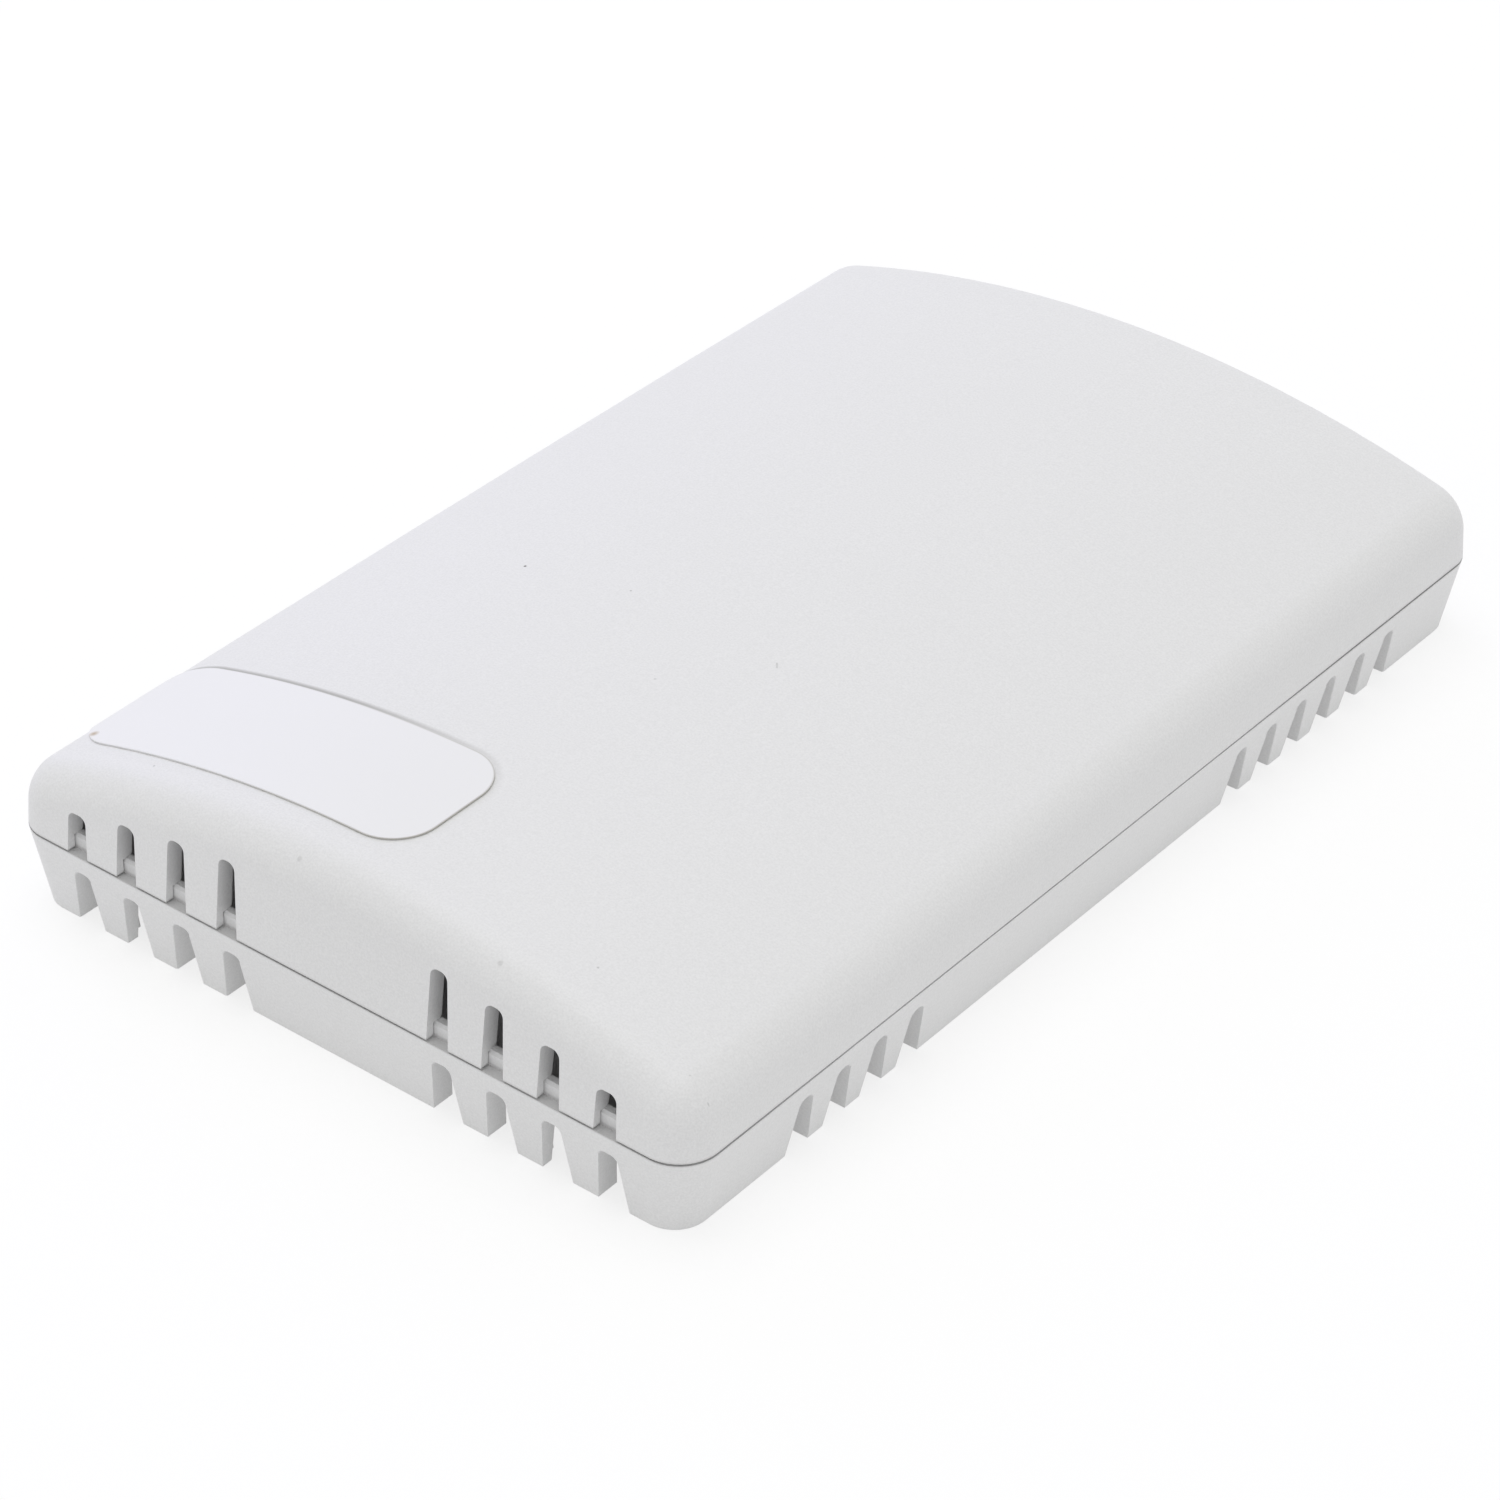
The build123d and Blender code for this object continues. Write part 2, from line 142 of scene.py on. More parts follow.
def node_box(node: str) -> tuple[Vector, Vector]:
    """Box of a solid in millimetres.

    Args:
        node: The solid's node.

    Returns:
        The box's lowest and highest corner.
    """
    points = [vert.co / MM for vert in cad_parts[node].data.vertices]
    low = Vector(min(point[axis] for point in points) for axis in range(3))
    high = Vector(max(point[axis] for point in points) for axis in range(3))
    return low, high


@dataclass(frozen=True)
class Plastic:
    """A moulded or poured plastic: two near shades that drift into each other, and a fine grain."""

    name: str
    pale: str
    clouded: str
    roughness: float
    ior: float = 1.54
    cloud: float = 30.0
    grain: float = 0.5
    texture: Grain = Grain.AS_MOULDED
    gloss_drift: float = 0.05
    cloud_detail: float = 3.0
    grain_detail: float = 2.0

    def colour(self, tree: bpy.types.NodeTree, place: bpy.types.NodeSocket) -> bpy.types.NodeSocket:
        """Colour of the bare surface.

        Args:
            tree: The node tree that gets the nodes.
            place: The point on the surface, in metres.

        Returns:
            The output socket with the colour.
        """
        drift = add_node(
            tree,
            "ShaderNodeTexNoise",
            {"Vector": place, "Scale": per_size(self.cloud), "Detail": self.cloud_detail},
        ).outputs["Fac"]
        return add_node(
            tree,
            "ShaderNodeMix",
            {"Factor": drift, "A": linear(self.pale), "B": linear(self.clouded)},
            data_type="RGBA",
        ).outputs["Result"]

    def height(self, tree: bpy.types.NodeTree, place: bpy.types.NodeSocket) -> bpy.types.NodeSocket:
        """Height of the grain, from 0 at the bottom of a pit to 1.

        Args:
            tree: The node tree that gets the nodes.
            place: The point on the surface, in metres.

        Returns:
            The output socket with the height.
        """
        return add_node(
            tree,
            "ShaderNodeTexNoise",
            {"Vector": place, "Scale": per_size(self.grain), "Detail": self.grain_detail},
        ).outputs["Fac"]

    def build(self) -> bpy.types.Material:
        """Builds the node material.

        Returns:
            The finished material.
        """
        material, tree = new_material(self.name)
        place = add_node(tree, "ShaderNodeTexCoord").outputs["Object"]
        height = self.height(tree, place)
        bump = add_node(tree, "ShaderNodeBump", {"Height": height, "Distance": self.texture.value * MM})
        shine = add_node(
            tree,
            "ShaderNodeMapRange",
            {
                "Value": height,
                "To Min": self.roughness - self.gloss_drift,
                "To Max": self.roughness + self.gloss_drift,
            },
        )
        surface = add_node(
            tree,
            "ShaderNodeBsdfPrincipled",
            {
                "Base Color": self.colour(tree, place),
                "Roughness": shine.outputs["Result"],
                "IOR": self.ior,
                "Normal": bump.outputs["Normal"],
            },
        )
        add_node(tree, "ShaderNodeOutputMaterial", {"Surface": surface.outputs["BSDF"]})
        return material


@dataclass(frozen=True)
class Mark:
    """A fleck or a scratch: its start, its half width, how much it hides and how far it runs."""

    start: tuple[float, float, float]
    radius: float
    cover: float = 1.0
    run: tuple[float, float, float] = (0.0, 0.0, 0.0)
    core: float = 0.5

    def share(self, tree: bpy.types.NodeTree, place: bpy.types.NodeSocket) -> bpy.types.NodeSocket:
        """Share of the surface that the mark hides.

        Args:
            tree: The node tree that gets the nodes.
            place: The point on the surface, in metres.

        Returns:
            The output socket with the share.
        """
        away = add_node(
            tree, "ShaderNodeVectorMath", {0: place, 1: Vector(self.start) * MM}, operation="SUBTRACT"
        ).outputs[0]
        if any(self.run):
            run = Vector(self.run) * MM
            along = add_node(
                tree, "ShaderNodeVectorMath", {0: away, 1: run / run.length_squared}, operation="DOT_PRODUCT"
            ).outputs["Value"]
            held = add_node(tree, "ShaderNodeClamp", {"Value": along}).outputs[0]
            passed = add_node(
                tree, "ShaderNodeVectorMath", {0: run, "Scale": held}, operation="SCALE"
            ).outputs[0]
            away = add_node(
                tree, "ShaderNodeVectorMath", {0: away, 1: passed}, operation="SUBTRACT"
            ).outputs[0]
        reach = add_node(tree, "ShaderNodeVectorMath", {0: away}, operation="LENGTH").outputs["Value"]
        return add_node(
            tree,
            "ShaderNodeMapRange",
            {
                "Value": reach,
                "From Min": self.radius * MM,
                "From Max": self.radius * self.core * MM,
                "To Max": self.cover,
            },
        ).outputs["Result"]


@dataclass(frozen=True)
class FilmOutline:
    """The label film's rounded outline in plan, which the painted shade on its edge and beside it follow."""

    center: tuple[float, float] = (0.0, 0.0)
    half: tuple[float, float] = (20.0, 7.0)
    corner: float = 4.5

    def away(self, tree: bpy.types.NodeTree, place: bpy.types.NodeSocket) -> bpy.types.NodeSocket:
        """Way from the film's centre to a point.

        Args:
            tree: The node tree that gets the nodes.
            place: The point on the surface, in metres.

        Returns:
            The output socket with the way, in metres.
        """
        center = Vector((*self.center, 0)) * MM
        return add_node(tree, "ShaderNodeVectorMath", {0: place, 1: center}, operation="SUBTRACT").outputs[0]

    def reach(self, tree: bpy.types.NodeTree, away: bpy.types.NodeSocket) -> bpy.types.NodeSocket:
        """Distance in plan beyond the corners' centres, which is the corner radius on the outline.

        Args:
            tree: The node tree that gets the nodes.
            away: The way from the film's centre, in metres.

        Returns:
            The output socket with the distance, in metres.
        """
        sided = add_node(tree, "ShaderNodeVectorMath", {0: away}, operation="ABSOLUTE").outputs[0]
        straight = Vector((self.half[0] - self.corner, self.half[1] - self.corner, BEYOND_REACH)) * MM
        past = add_node(
            tree, "ShaderNodeVectorMath", {0: sided, 1: straight}, operation="SUBTRACT"
        ).outputs[0]
        outer = add_node(
            tree, "ShaderNodeVectorMath", {0: past, 1: (0, 0, 0)}, operation="MAXIMUM"
        ).outputs[0]
        return add_node(tree, "ShaderNodeVectorMath", {0: outer}, operation="LENGTH").outputs["Value"]


@dataclass(frozen=True)
class MouldedABS(Plastic):
    """White ABS from a spark-eroded mould.

    The eye gets a soft satin with no clear reflection, faint clouding from the melt's flow, a grain as
    fine as flour with a little painted shade at the bottom of each pit, a painted shadow of a shallow
    recess wall along the label's lower edge, painted shade in the joint where it stands open, and a few
    dirty flecks and handling scratches. The grain is drawn coarser than it is, so that it still shows.
    """

    name: str = "moulded_white_ABS"
    pale: str = "#EBEBEB"
    clouded: str = "#E8E8E8"
    roughness: float = 0.5
    grain: float = 0.2
    texture: Grain = Grain.SPARK_ERODED
    # Painted shade at the bottom of each pit of the grain
    pit_shade: str = "#E1E1E1"
    pit_top: float = 0.7
    pit_floor: float = 0.3
    outline: FilmOutline = FilmOutline()
    # Painted shadow of a shallow recess wall along the label's lower edge
    label_shade: str = "#A09F9A"
    label_shade_core: float = 0.4
    label_shade_width: float = 0.85
    label_shade_cover: float = 0.85
    label_shade_least: float = 0.1
    joint_height: float = 7.9
    joint_core: float = 0.1
    joint_reach: float = 0.32
    joint_tight: float = 12.0
    joint_closed: float = 26.0
    joint_open: float = 50.0
    joint_cover: float = 0.26
    # Colour of the dirty flecks and scratches, and of the painted shade in the joint
    dirt_and_joint_shade: str = "#45413C"
    marks: tuple[Mark, ...] = (
        Mark((19.4, 12.7, 18.6), 0.19),
        Mark((7.9, 11.4, 20.0), 0.14, 0.35),
        Mark((-3.0, 21.1, 20.1), 0.16, 0.2),
        Mark((-9.5, 12.2, 19.9), 0.12, 0.25, (-0.4, 0.5, -0.05)),
        Mark((-23.5, 52.9, 17.4), 0.14, 0.3),
        Mark((24.7, 55.0, 17.1), 0.14, 0.4),
        Mark((-17.3, 57.7, 17.7), 0.3, 0.18),
        Mark((4.4, 58.2, 18.4), 0.3, 0.15),
        Mark((-37.5, 56.1, 13.0), 0.1, 0.2, (-0.2, 0.1, -1.2)),
        Mark((-35.5, 55.9, 14.3), 0.1, 0.2, (-0.5, -0.5, 0.1)),
    )

    def label_shade_share(self, tree: bpy.types.NodeTree, place: bpy.types.NodeSocket) -> bpy.types.NodeSocket:
        """Share of the surface that the painted shadow of a shallow recess wall covers: a line below the
        label that thins towards its inner end.

        Args:
            tree: The node tree that gets the nodes.
            place: The point on the surface, in metres.

        Returns:
            The output socket with the share.
        """
        away = self.outline.away(tree, place)
        beside = add_node(
            tree,
            "ShaderNodeMapRange",
            {
                "Value": self.outline.reach(tree, away),
                "From Min": (self.outline.corner + self.label_shade_width) * MM,
                "From Max": (self.outline.corner + self.label_shade_core) * MM,
                "To Max": self.label_shade_cover,
            },
        ).outputs["Result"]
        sides = add_node(tree, "ShaderNodeSeparateXYZ", {0: away}).outputs
        lower = add_node(
            tree,
            "ShaderNodeMapRange",
            {"Value": sides["Y"], "From Min": 0.0, "From Max": -self.outline.half[1] * MM},
        ).outputs["Result"]
        thinned = add_node(
            tree,
            "ShaderNodeMapRange",
            {
                "Value": sides["X"],
                "From Min": -self.outline.half[0] * MM,
                "From Max": 0.0,
                "To Min": self.label_shade_least,
            },
        ).outputs["Result"]
        line = add_node(tree, "ShaderNodeMath", {0: beside, 1: lower}, operation="MULTIPLY").outputs[0]
        return add_node(tree, "ShaderNodeMath", {0: line, 1: thinned}, operation="MULTIPLY").outputs[0]

    def joint_shade_share(self, tree: bpy.types.NodeTree, place: bpy.types.NodeSocket) -> bpy.types.NodeSocket:
        """Share of the surface that painted shade in the joint covers: a line in the joint, which is tightest
        near its middle.

        Args:
            tree: The node tree that gets the nodes.
            place: The point on the surface, in metres.

        Returns:
            The output socket with the share.
        """
        tightest = Vector((0, self.joint_tight, self.joint_height)) * MM
        away = add_node(
            tree, "ShaderNodeVectorMath", {0: place, 1: tightest}, operation="SUBTRACT"
        ).outputs[0]
        sided = add_node(tree, "ShaderNodeVectorMath", {0: away}, operation="ABSOLUTE").outputs[0]
        sides = add_node(tree, "ShaderNodeSeparateXYZ", {0: sided}).outputs
        line = add_node(
            tree,
            "ShaderNodeMapRange",
            {
                "Value": sides["Z"],
                "From Min": self.joint_reach * MM,
                "From Max": self.joint_core * MM,
                "To Max": self.joint_cover,
            },
        ).outputs["Result"]
        opened = add_node(
            tree,
            "ShaderNodeMapRange",
            {"Value": sides["Y"], "From Min": self.joint_closed * MM, "From Max": self.joint_open * MM},
        ).outputs["Result"]
        return add_node(tree, "ShaderNodeMath", {0: line, 1: opened}, operation="MULTIPLY").outputs[0]

    def colour(self, tree: bpy.types.NodeTree, place: bpy.types.NodeSocket) -> bpy.types.NodeSocket:
        """Colour of the grained plastic with its painted shade at the bottom of each pit, along the label and
        in the joint, and the marks on it.

        Args:
            tree: The node tree that gets the nodes.
            place: The point on the surface, in metres.

        Returns:
            The output socket with the colour.
        """
        # Painted shade at the bottom of each pit of the grain
        sunk = add_node(
            tree,
            "ShaderNodeMapRange",
            {"Value": self.height(tree, place), "From Min": self.pit_top, "From Max": self.pit_floor},
        ).outputs["Result"]
        shade = add_node(
            tree,
            "ShaderNodeMix",
            {"Factor": sunk, "A": super().colour(tree, place), "B": linear(self.pit_shade)},
            data_type="RGBA",
        ).outputs["Result"]
        # Painted shadow of a shallow recess wall along the label's lower edge
        shade = add_node(
            tree,
            "ShaderNodeMix",
            {"Factor": self.label_shade_share(tree, place), "A": shade, "B": linear(self.label_shade)},
            data_type="RGBA",
        ).outputs["Result"]
        # Painted shade in the joint, then the dirty flecks and scratches
        hidden = [self.joint_shade_share(tree, place)] + [mark.share(tree, place) for mark in self.marks]
        for share in hidden:
            shade = add_node(
                tree, "ShaderNodeMix", {"Factor": share, "A": shade, "B": linear(self.dirt_and_joint_shade)}, data_type="RGBA"
            ).outputs["Result"]
        return shade


@dataclass(frozen=True)
class LabelFilm(Plastic):
    """White polyester film over adhesive.

    The eye gets a cooler and smoother white than the moulding, with a thin grey line of painted shade at the
    cut edge, and one brownish spot of squeezed-out glue.
    """

    name: str = "white_polyester_film"
    pale: str = "#ECECED"
    clouded: str = "#EAEAEB"
    roughness: float = 0.48
    ior: float = 1.6
    texture: Grain = Grain.CALENDERED
    outline: FilmOutline = FilmOutline()
    # Painted shade along the film's cut edge
    edge: str = "#B6B4AD"
    edge_shade_width: float = 0.16
    edge_shade_least: float = 0.1
    glue: str = "#A98F66"
    glue_spot: Mark = Mark((34.9, 52.5, 14.7), 0.6, 0.9, core=0.0)

    def colour(self, tree: bpy.types.NodeTree, place: bpy.types.NodeSocket) -> bpy.types.NodeSocket:
        """Colour of the film with its grey edge and the glue spot.

        Args:
            tree: The node tree that gets the nodes.
            place: The point on the surface, in metres.

        Returns:
            The output socket with the colour.
        """
        shade = super().colour(tree, place)

        # Painted shade along the cut edge, darkest at the film's inner end
        away = self.outline.away(tree, place)
        rim = add_node(
            tree,
            "ShaderNodeMapRange",
            {
                "Value": self.outline.reach(tree, away),
                "From Min": (self.outline.corner - self.edge_shade_width) * MM,
                "From Max": self.outline.corner * MM,
            },
        ).outputs["Result"]
        across = add_node(tree, "ShaderNodeSeparateXYZ", {0: away}).outputs["X"]
        half = self.outline.half[0] * MM
        greyed = add_node(
            tree,
            "ShaderNodeMapRange",
            {"Value": across, "From Min": half / 2, "From Max": -half, "To Min": self.edge_shade_least},
        ).outputs["Result"]
        edge_shade_share = add_node(tree, "ShaderNodeMath", {0: rim, 1: greyed}, operation="MULTIPLY").outputs[0]
        shade = add_node(
            tree, "ShaderNodeMix", {"Factor": edge_shade_share, "A": shade, "B": linear(self.edge)}, data_type="RGBA"
        ).outputs["Result"]

        # Squeezed-out glue
        stain = self.glue_spot.share(tree, place)
        return add_node(
            tree, "ShaderNodeMix", {"Factor": stain, "A": shade, "B": linear(self.glue)}, data_type="RGBA"
        ).outputs["Result"]


@dataclass(frozen=True)
class BoardLaminate(Plastic):
    """Glass-epoxy board under green solder resist.

    The eye gets a wet green gloss on both faces, and the dull straw colour of bare laminate on the cut edges
    and in the drilled holes.
    """

    name: str = "green_resist_on_glass_epoxy"
    pale: str = "#1F6B41"
    clouded: str = "#185A36"
    roughness: float = 0.24
    cloud: float = 4.0
    grain: float = 0.4
    bare: str = "#A99A62"
    flat: float = 0.5

    def colour(self, tree: bpy.types.NodeTree, place: bpy.types.NodeSocket) -> bpy.types.NodeSocket:
        """Colour of the resist on the faces, and of the laminate on the edges.

        Args:
            tree: The node tree that gets the nodes.
            place: The point on the surface, in metres.

        Returns:
            The output socket with the colour.
        """
        shade = super().colour(tree, place)
        facing = add_node(tree, "ShaderNodeTexCoord").outputs["Normal"]
        upright = add_node(tree, "ShaderNodeSeparateXYZ", {0: facing}).outputs["Z"]
        tilt = add_node(tree, "ShaderNodeMath", {0: upright}, operation="ABSOLUTE").outputs[0]
        cut = add_node(tree, "ShaderNodeMath", {0: tilt, 1: self.flat}, operation="LESS_THAN").outputs[0]
        return add_node(
            tree, "ShaderNodeMix", {"Factor": cut, "A": shade, "B": linear(self.bare)}, data_type="RGBA"
        ).outputs["Result"]


@dataclass(frozen=True)
class PlatedMetal:
    """A thin plating: a metal's own reflection, with slow patches of duller metal and fine marks."""

    name: str
    bright: str
    dull: str
    roughness: float
    patch: float = 1.4
    patch_detail: float = 3.0
    gloss_drift: float = 0.08
    mark: float = 0.12
    mark_depth: float = 0.004

    def build(self) -> bpy.types.Material:
        """Builds the node material.

        Returns:
            The finished material.
        """
        material, tree = new_material(self.name)
        place = add_node(tree, "ShaderNodeTexCoord").outputs["Object"]
        patches = add_node(
            tree,
            "ShaderNodeTexNoise",
            {"Vector": place, "Scale": per_size(self.patch), "Detail": self.patch_detail},
        ).outputs["Fac"]
        shade = add_node(
            tree,
            "ShaderNodeMix",
            {"Factor": patches, "A": linear(self.bright), "B": linear(self.dull)},
            data_type="RGBA",
        ).outputs["Result"]
        shine = add_node(
            tree,
            "ShaderNodeMapRange",
            {
                "Value": patches,
                "To Min": self.roughness - self.gloss_drift,
                "To Max": self.roughness + self.gloss_drift,
            },
        ).outputs["Result"]
        marks = add_node(
            tree, "ShaderNodeTexNoise", {"Vector": place, "Scale": per_size(self.mark)}
        ).outputs["Fac"]
        bump = add_node(tree, "ShaderNodeBump", {"Height": marks, "Distance": self.mark_depth * MM})
        surface = add_node(
            tree,
            "ShaderNodeBsdfPrincipled",
            {"Base Color": shade, "Metallic": 1.0, "Roughness": shine, "Normal": bump.outputs["Normal"]},
        )
        add_node(tree, "ShaderNodeOutputMaterial", {"Surface": surface.outputs["BSDF"]})
        return material


# Green polyamide: a dull, slightly waxy block colour
GREEN_POLYAMIDE = Plastic("green_polyamide", "#2E7D4B", "#276E41", 0.46, cloud=3.0, grain=0.3)

# Black epoxy: a drop that flowed and set, nearly black with a wet highlight
BLACK_EPOXY = Plastic(
    "black_epoxy", "#1B1B1D", "#141416", 0.16, 1.55, cloud=1.5, grain=0.8, texture=Grain.POURED
)

# Zinc plate on steel: pale grey with a faint blue cast and a broken shine
ZINC_STEEL = PlatedMetal("zinc_plated_steel", "#C9CCD2", "#A4A8AE", 0.34)

# Nickel plate on brass: a warmer and smoother white metal
NICKEL_BRASS = PlatedMetal("nickel_plated_brass", "#D6CFC0", "#B8AF9C", 0.28)

# Tin on copper wire: soft, greyish and a little drawn along its length
TINNED_COPPER = PlatedMetal("tinned_copper", "#CFCFCD", "#ACACA9", 0.36, patch=0.8)

# Tin solder: bright, frozen as it flowed
TIN_SOLDER = PlatedMetal("tin_solder", "#DADBDD", "#B9BABC", 0.2, patch=0.5, mark=0.3, mark_depth=0.01)


@dataclass(frozen=True)
class Softbox:
    """A round soft lamp that faces the part, its power in watts."""

    name: str
    place: tuple[float, float, float]
    size: float
    power: float
    colour: str = WHITE

    def build(self) -> None:
        """Hangs the lamp."""
        lamp = bpy.data.lights.new(self.name, "AREA")
        lamp.shape = "DISK"
        lamp.size = self.size * MM
        lamp.energy = self.power
        lamp.color = linear(self.colour)[:3]
        holder = bpy.data.objects.new(self.name, lamp)
        holder.location = Vector(self.place) * MM
        holder.rotation_mode = "QUATERNION"
        holder.rotation_quaternion = (-holder.location).to_track_quat("-Z", "Y")
        bpy.context.scene.collection.objects.link(holder)


@dataclass
class Studio:
    """Pale floor, soft light and the camera at the photograph's angle.

    The camera's roll is in degrees. The glow, the ambient light and the backdrop are strengths, and
    floor_seen and floor_fill are the glow's shares of the floor where it is seen and where it lights.
    """

    floor_radius: float = 2500.0
    floor_sides: int = 64
    floor_drop: float = 0.05
    floor_colour: str = "#F4F4F4"
    floor_seen: float = 0.7
    floor_fill: float = 0.2
    floor_glow: float = 1.06
    ambient: float = 0.705
    backdrop: float = 1.0
    lamps: tuple[Softbox, ...] = (
        Softbox("overhead_softbox", (200.0, -60.0, 1100.0), 900.0, 3.35),
        Softbox("window_panel", (900.0, -350.0, 480.0), 600.0, 1.1, "#B8B6FF"),
    )
    camera_place: tuple[float, float, float] = (-208.095, 263.958, 233.169)
    camera_aim: tuple[float, float, float] = (-7.128, 12.985, 10.0)
    camera_roll: float = 0.16
    lens: float = 105.42
    sensor: float = 36.0
    clip_near: float = 10.0
    clip_far: float = 20000.0

    def build(self) -> None:
        """Builds the floor, the lights, the world and the camera."""
        self.build_world()
        self.build_floor()
        for lamp in self.lamps:
            lamp.build()
        self.build_camera()

    @staticmethod
    def seen_share(tree: bpy.types.NodeTree) -> bpy.types.NodeSocket:
        """Share that is 1 where a ray comes from the camera, a reflection or a clear body.

        Args:
            tree: The node tree that gets the nodes.

        Returns:
            The output socket with the share.
        """
        path = add_node(tree, "ShaderNodeLightPath").outputs
        first = add_node(
            tree, "ShaderNodeMath", {0: path["Is Camera Ray"], 1: path["Is Glossy Ray"]}, operation="MAXIMUM"
        ).outputs[0]
        return add_node(
            tree, "ShaderNodeMath", {0: first, 1: path["Is Transmission Ray"]}, operation="MAXIMUM"
        ).outputs[0]

    def build_world(self) -> None:
        """Makes the surroundings: white where they are seen, and softer where they light the part."""
        world = bpy.data.worlds.new("studio")
        world.use_nodes = True
        tree = world.node_tree
        tree.nodes.clear()
        fill = add_node(
            tree, "ShaderNodeBackground", {"Color": linear(WHITE), "Strength": self.ambient}
        ).outputs[0]
        white = add_node(
            tree, "ShaderNodeBackground", {"Color": linear(WHITE), "Strength": self.backdrop}
        ).outputs[0]
        seen = self.seen_share(tree)
        both = add_node(tree, "ShaderNodeMixShader", {0: seen, 1: fill, 2: white}).outputs[0]
        add_node(tree, "ShaderNodeOutputWorld", {"Surface": both})
        bpy.context.scene.world = world

    def build_floor(self) -> None:
        """Makes the pale floor: a dim light table that keeps the part's shadow and is clear from below."""
        material, tree = new_material("pale_floor")
        plain = add_node(tree, "ShaderNodeBsdfDiffuse", {"Color": linear(self.floor_colour)}).outputs[0]
        glow = add_node(
            tree, "ShaderNodeEmission", {"Color": linear(WHITE), "Strength": self.floor_glow}
        ).outputs[0]
        share = add_node(
            tree,
            "ShaderNodeMapRange",
            {"Value": self.seen_share(tree), "To Min": self.floor_fill, "To Max": self.floor_seen},
        ).outputs["Result"]
        both = add_node(tree, "ShaderNodeMixShader", {0: share, 1: plain, 2: glow}).outputs[0]
        under = add_node(tree, "ShaderNodeNewGeometry").outputs["Backfacing"]
        clear = add_node(tree, "ShaderNodeBsdfTransparent").outputs[0]
        sided = add_node(tree, "ShaderNodeMixShader", {0: under, 1: both, 2: clear}).outputs[0]
        add_node(tree, "ShaderNodeOutputMaterial", {"Surface": sided})
        mesh = bmesh.new()
        bmesh.ops.create_circle(
            mesh, cap_ends=True, segments=self.floor_sides, radius=self.floor_radius * MM
        )
        bmesh.ops.translate(mesh, verts=mesh.verts, vec=(0, 0, -self.floor_drop * MM))
        new_object("floor", mesh, material)

    def build_camera(self) -> None:
        """Sets the camera where the photograph was taken from."""
        camera = bpy.data.cameras.new("camera")
        camera.lens = self.lens
        camera.sensor_width = self.sensor
        camera.clip_start = self.clip_near * MM
        camera.clip_end = self.clip_far * MM
        holder = bpy.data.objects.new("camera", camera)
        holder.location = Vector(self.camera_place) * MM
        look = (Vector(self.camera_aim) - Vector(self.camera_place)).to_track_quat("-Z", "Y")
        holder.rotation_mode = "QUATERNION"
        holder.rotation_quaternion = look @ Quaternion((0, 0, 1), math.radians(self.camera_roll))
        bpy.context.scene.collection.objects.link(holder)
        bpy.context.scene.camera = holder
        bpy.context.scene.view_settings.view_transform = "Standard"


def new_object(name: str, mesh: bmesh.types.BMesh, material: bpy.types.Material) -> bpy.types.Object:
    """Makes an object at the origin from a finished bmesh.

    Args:
        name: The object's name.
        mesh: The bmesh, which is freed.
        material: The object's material.

    Returns:
        The new object, linked to the scene.
    """
    data = bpy.data.meshes.new(name)
    mesh.to_mesh(data)
    mesh.free()
    data.materials.append(material)
    made = bpy.data.objects.new(name, data)
    bpy.context.scene.collection.objects.link(made)
    return made


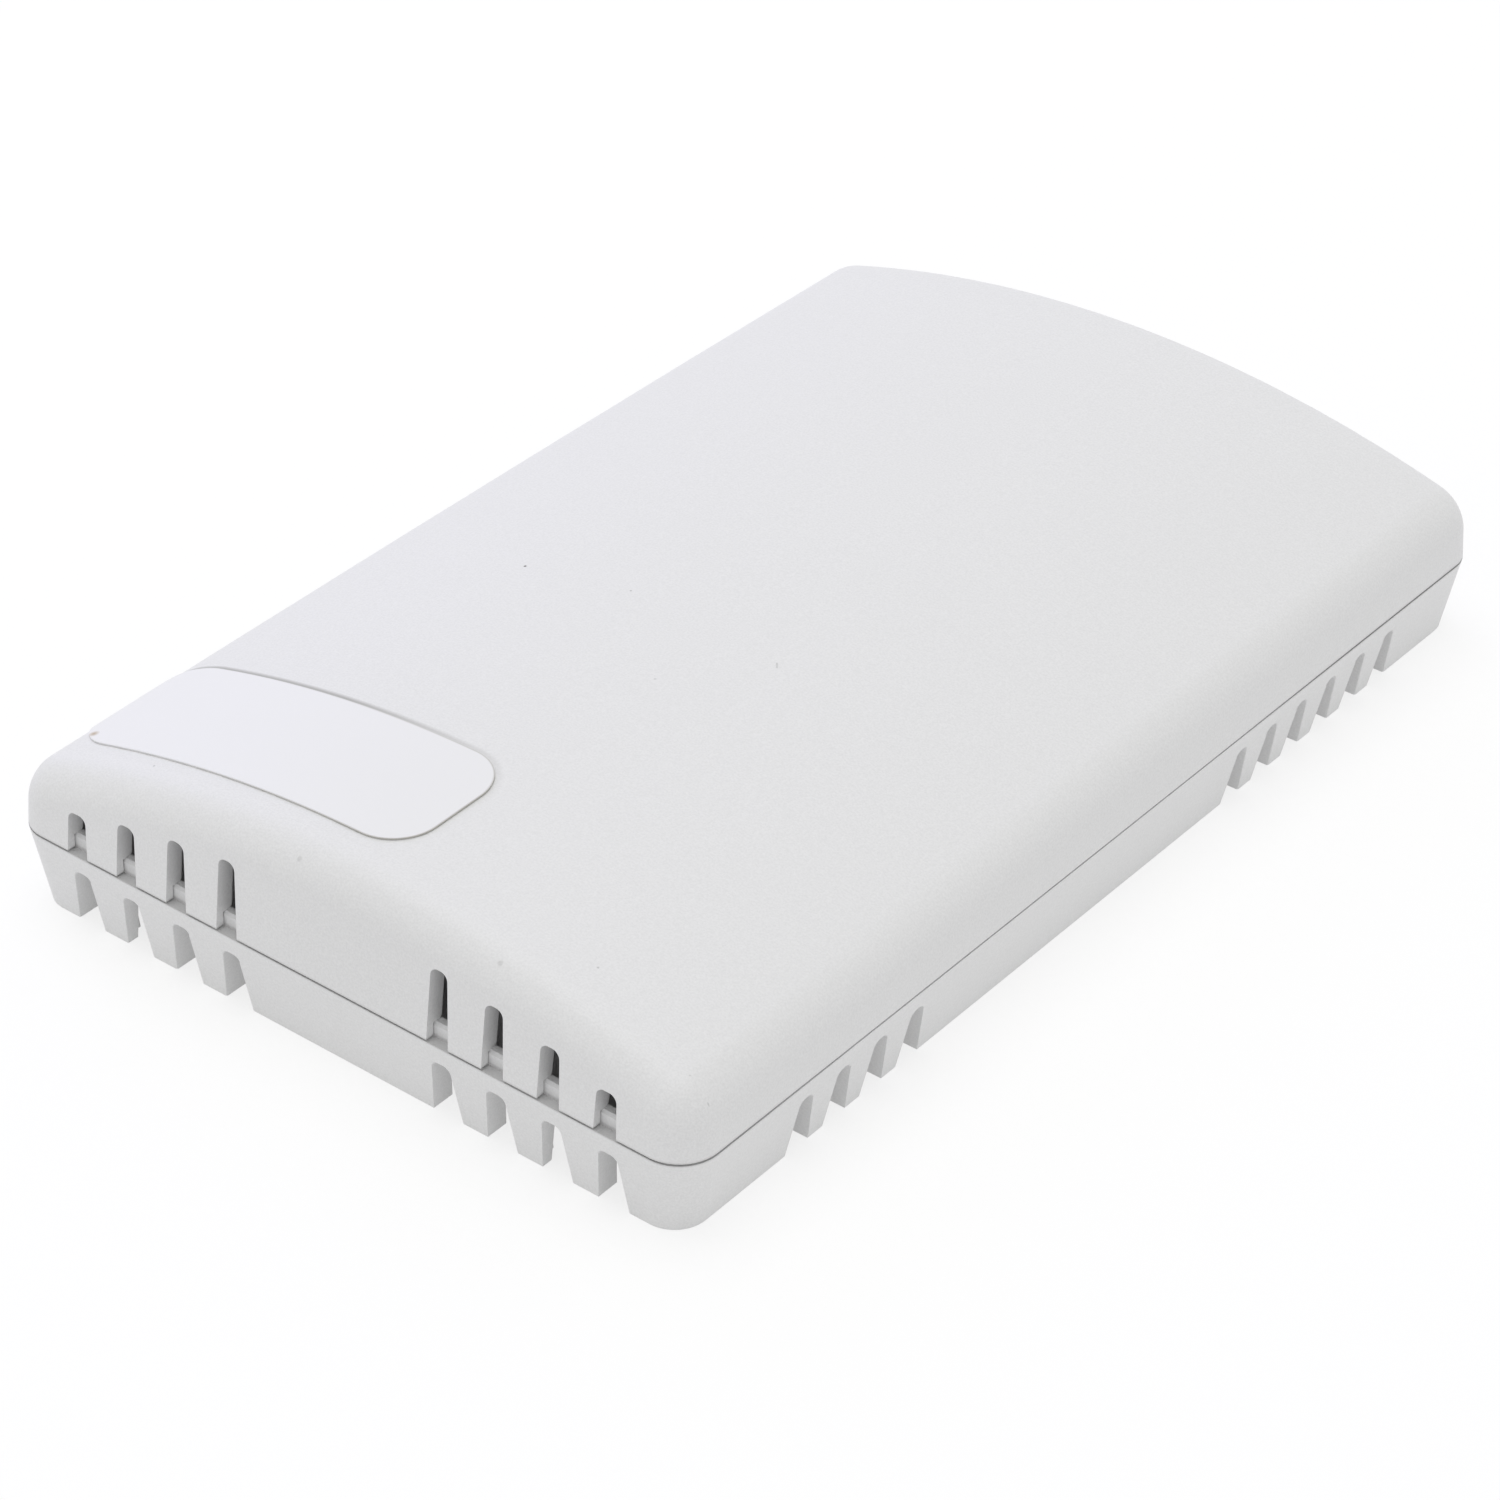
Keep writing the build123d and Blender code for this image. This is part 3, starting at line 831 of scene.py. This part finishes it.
@dataclass
class Dressing:
    """One solid's visible stand-in: its mesh merged, its rounded faces shaded smoothly.

    The crease and the mouth angle are in degrees, the flat angle is in radians, and upright is the least
    component of a normal that counts as facing along an axis.
    """

    node: str
    name: str
    material: bpy.types.Material
    crease: float = 28.0
    merge: float = 0.0005
    mouth_axes: tuple[int, ...] = ()
    mouth_round: float = 0.14
    mouth_angle: float = 50.0
    mouth_steps: int = 2
    mouth_depth: float = 2.5
    upright: float = 0.95
    flat: float = 0.0004
    normal_weight: int = 100

    def beside_wall(self, face: bmesh.types.BMFace, reach: Vector) -> bool:
        """Tells whether a face lies near a wall that has openings.

        Args:
            face: The face.
            reach: How far the mesh reaches from the origin along each axis, in metres.

        Returns:
            Whether the face lies near such a wall.
        """
        middle = face.calc_center_median()
        return any(abs(middle[axis]) > reach[axis] - self.mouth_depth * MM for axis in self.mouth_axes)

    def on_wall(self, face: bmesh.types.BMFace, reach: Vector) -> bool:
        """Tells whether a face is part of the outside of a wall that has openings.

        Args:
            face: The face.
            reach: How far the mesh reaches from the origin along each axis, in metres.

        Returns:
            Whether the face is part of such a wall's outside.
        """
        middle = face.calc_center_median()
        return self.beside_wall(face, reach) and any(
            face.normal[axis] * math.copysign(1, middle[axis]) > self.upright for axis in self.mouth_axes
        )

    def round_mouths(self, mesh: bmesh.types.BMesh) -> None:
        """Rounds the outer edges of the openings in the walls, as a worn mould leaves them.

        Args:
            mesh: The merged mesh, which is changed.
        """
        reach = Vector(max(abs(vert.co[axis]) for vert in mesh.verts) for axis in range(3))
        foot = min(vert.co.z for vert in mesh.verts) + self.mouth_round * MM
        inside = [
            edge
            for edge in mesh.edges
            if edge.is_manifold and all(self.beside_wall(face, reach) for face in edge.link_faces)
        ]
        bmesh.ops.dissolve_limit(mesh, angle_limit=self.flat, edges=inside)
        mouths = []
        for edge in mesh.edges:
            if not edge.is_manifold or edge.calc_face_angle() < math.radians(self.mouth_angle):
                continue
            walls = [face for face in edge.link_faces if self.on_wall(face, reach)]
            inner = [face for face in edge.link_faces if face not in walls and face.normal.z < self.upright]
            if len(walls) == 1 and len(inner) == 1 and max(vert.co.z for vert in edge.verts) > foot:
                mouths.append(edge)
        bmesh.ops.bevel(
            mesh,
            geom=mouths,
            offset=self.mouth_round * MM,
            offset_type="OFFSET",
            segments=self.mouth_steps,
            profile=0.5,
            affect="EDGES",
            clamp_overlap=False,
            material=-1,
        )
        bmesh.ops.triangulate(mesh, faces=[face for face in mesh.faces if len(face.verts) > 3])
        bmesh.ops.dissolve_degenerate(mesh, dist=self.merge * MM, edges=mesh.edges)
        LOG.info("%s: %d rounded edges", self.name, len(mouths))

    def build(self) -> bpy.types.Object:
        """Builds the piece, which stands for the node.

        Returns:
            The finished piece.
        """
        mesh = bmesh.new()
        mesh.from_mesh(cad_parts[self.node].data)
        bmesh.ops.remove_doubles(mesh, verts=mesh.verts, dist=self.merge * MM)
        if self.mouth_axes:
            self.round_mouths(mesh)
        for face in mesh.faces:
            face.smooth = True
        for edge in mesh.edges:
            edge.smooth = edge.is_manifold and edge.calc_face_angle() < math.radians(self.crease)
        piece = new_object(self.name, mesh, self.material)
        weighted = piece.modifiers.new("even_normals", "WEIGHTED_NORMAL")
        weighted.keep_sharp = True
        weighted.weight = self.normal_weight
        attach(piece, Body.HOUSING.value)
        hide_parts(self.node)
        LOG.info("%s: %d faces", piece.name, len(piece.data.polygons))
        return piece


@dataclass
class Housing:
    """The vented cover, the castellated base and the label film."""

    film_corner: float = 4.5

    def build(self) -> None:
        """Dresses the cover, the base and the label."""
        low, high = node_box("face_label")
        center = (low + high) / 2
        half = (high - low) / 2
        outline = FilmOutline(tuple(center.xy), tuple(half.xy), self.film_corner)
        white = MouldedABS(outline=outline).build()
        Dressing("front_cover", "cover_moulding", white).build()
        Dressing("rear_base", "base_moulding", white, mouth_axes=(0, 1)).build()
        Dressing("face_label", "label_film", LabelFilm(outline=outline).build()).build()


@dataclass
class Electronics:
    """The board, its screws, the wire terminal and the thermistor."""

    board: BoardLaminate = field(default_factory=BoardLaminate)

    def build(self) -> None:
        """Dresses every piece inside the housing."""
        zinc = ZINC_STEEL.build()
        tin = TINNED_COPPER.build()
        Dressing("circuit_board", "board_laminate", self.board.build()).build()
        Dressing("board_screws", "board_screw_bodies", zinc).build()
        Dressing("terminal_housing", "terminal_block", GREEN_POLYAMIDE.build()).build()
        Dressing("terminal_cages", "terminal_clamps", NICKEL_BRASS.build()).build()
        Dressing("terminal_screws", "clamp_screw_bodies", zinc).build()
        Dressing("terminal_pins", "terminal_pin_wires", tin).build()
        Dressing("thermistor_leads", "thermistor_wires", tin).build()
        Dressing("thermistor_bead", "thermistor_drop", BLACK_EPOXY.build()).build()
        Dressing("solder_joints", "solder_cones", TIN_SOLDER.build()).build()


def main() -> None:
    """Builds the dressed part and the studio, and reports each piece."""
    logging.basicConfig(level=logging.INFO, format="%(name)s: %(message)s")
    Housing().build()
    Electronics().build()
    Studio().build()


if __name__ == "__main__":
    main()
